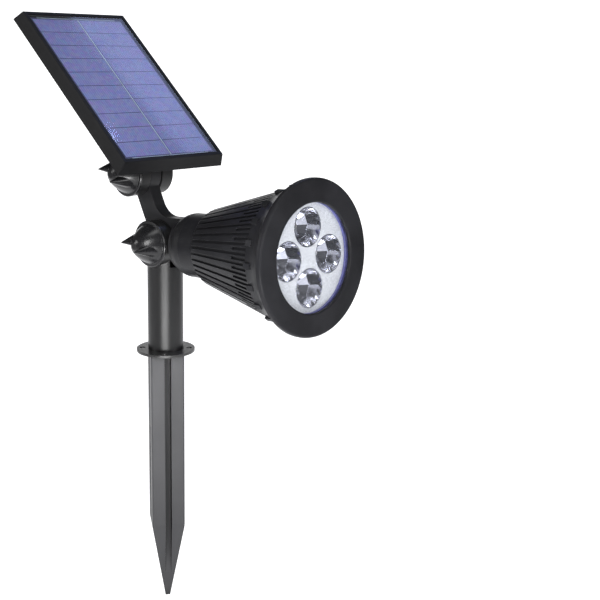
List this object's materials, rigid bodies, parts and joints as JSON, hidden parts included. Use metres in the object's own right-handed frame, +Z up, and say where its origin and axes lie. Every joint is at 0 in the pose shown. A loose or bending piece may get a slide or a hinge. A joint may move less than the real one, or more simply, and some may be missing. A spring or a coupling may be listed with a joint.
{
  "type": "solar garden spotlight",
  "caption": "Solar spotlight: tilting lamp head with ribbed cone, tilting solar panel on an arm, round pole and ground stake.",
  "frame": {"origin": "centre of the wall flange's underside, which is ground level when the stake is pushed in", "axes": "+Z up along the pole, the lamp looks towards -Y, both clamping knobs are on the -X side"},
  "size_m": [0.0872, 0.2168, 0.375],
  "materials": {
    "stake_plastic": "satin",
    "flange_plastic": "satin",
    "pole_paint": "semi-gloss",
    "fork_plastic": "satin",
    "steel": "zinc plated",
    "rubber_black": "matt",
    "gasket_tinted": "satin",
    "knob_plastic": "gloss",
    "brass": "machined",
    "hub_plastic": "satin",
    "shell_plastic": "satin",
    "bezel_plastic": "matt",
    "lens_clear": "clear",
    "reflector_silver": "fine texture",
    "cup_mirror": "bright",
    "led_yellow": "gloss",
    "board_white": "satin",
    "board_green": "satin",
    "chip_black": "matt",
    "holder_plastic": "satin",
    "cell_wrap": "gloss",
    "contact_metal": "plated",
    "tray_plastic": "satin",
    "window_clear": "clear",
    "cell_blue": "semi-gloss",
    "ribbon_metal": "satin",
    "backing_dark": "satin",
    "cover_plastic": "satin",
    "switch_plastic": "satin",
    "button_rubber": "matt"
  },
  "bodies": {
    "stake": {"ground_stake": "stake_plastic"},
    "pole": {"pole_flange": "flange_plastic", "pole_tube": "pole_paint", "pole_fork": "fork_plastic", "head_pivot_bolt": "steel", "head_friction_washers": "rubber_black"},
    "head_knob": {"head_knob": "knob_plastic", "head_knob_insert": "brass"},
    "head": {"head_hub_arm": "hub_plastic", "hub_seal": "rubber_black", "head_shell": "shell_plastic", "bezel_ring": "bezel_plastic", "front_lens": "lens_clear", "lens_gasket": "gasket_tinted", "reflector_plate": "reflector_silver", "reflector_cups": "cup_mirror", "led_emitters": "led_yellow", "led_board": "board_white", "led_board_screws": "steel", "board_standoffs": "brass", "control_board": "board_green", "control_parts": "chip_black", "battery_holder": "holder_plastic", "battery_cell": "cell_wrap", "battery_contacts": "contact_metal", "holder_screws": "steel"},
    "panel": {"panel_tray": "tray_plastic", "panel_seal": "rubber_black", "panel_window": "window_clear", "solar_cells": "cell_blue", "cell_ribbons": "ribbon_metal", "cell_backing_board": "backing_dark", "panel_back_cover": "cover_plastic", "panel_screws": "steel", "panel_pivot_bolt": "steel", "panel_friction_washers": "rubber_black", "switch_body": "switch_plastic"},
    "panel_knob": {"panel_knob": "knob_plastic", "panel_knob_insert": "brass"},
    "button": {"power_button": "button_rubber"}
  },
  "joints": [
    {"name": "pole_lift_off", "type": "slide", "parent": "stake", "child": "pole", "axis": [0, 0, 1], "range_m": [0, 0.025]},
    {"name": "head_tilt", "type": "hinge", "parent": "pole", "child": "head", "pos_m": [0, 0, 0.0696], "axis": [-1, 0, 0], "range_deg": [-15, 45]},
    {"name": "head_knob_turn", "type": "hinge", "parent": "pole", "child": "head_knob", "pos_m": [-0.0115, 0, 0.0696], "axis": [-1, 0, 0], "continuous": true},
    {"name": "panel_tilt", "type": "hinge", "parent": "head", "child": "panel", "pos_m": [0, 0.02098, 0.11042], "axis": [1, 0, 0], "range_deg": [-41, 35]},
    {"name": "panel_knob_turn", "type": "hinge", "parent": "panel", "child": "panel_knob", "pos_m": [-0.0115, 0.02098, 0.11042], "axis": [-1, 0, 0], "continuous": true},
    {"name": "power_button_press", "type": "slide", "parent": "panel", "child": "button", "axis": [0, -0.6587, 0.7524], "range_m": [0, 0.0008], "stiffness_N_per_m": 800, "springref_m": -0.0004}
  ]
}
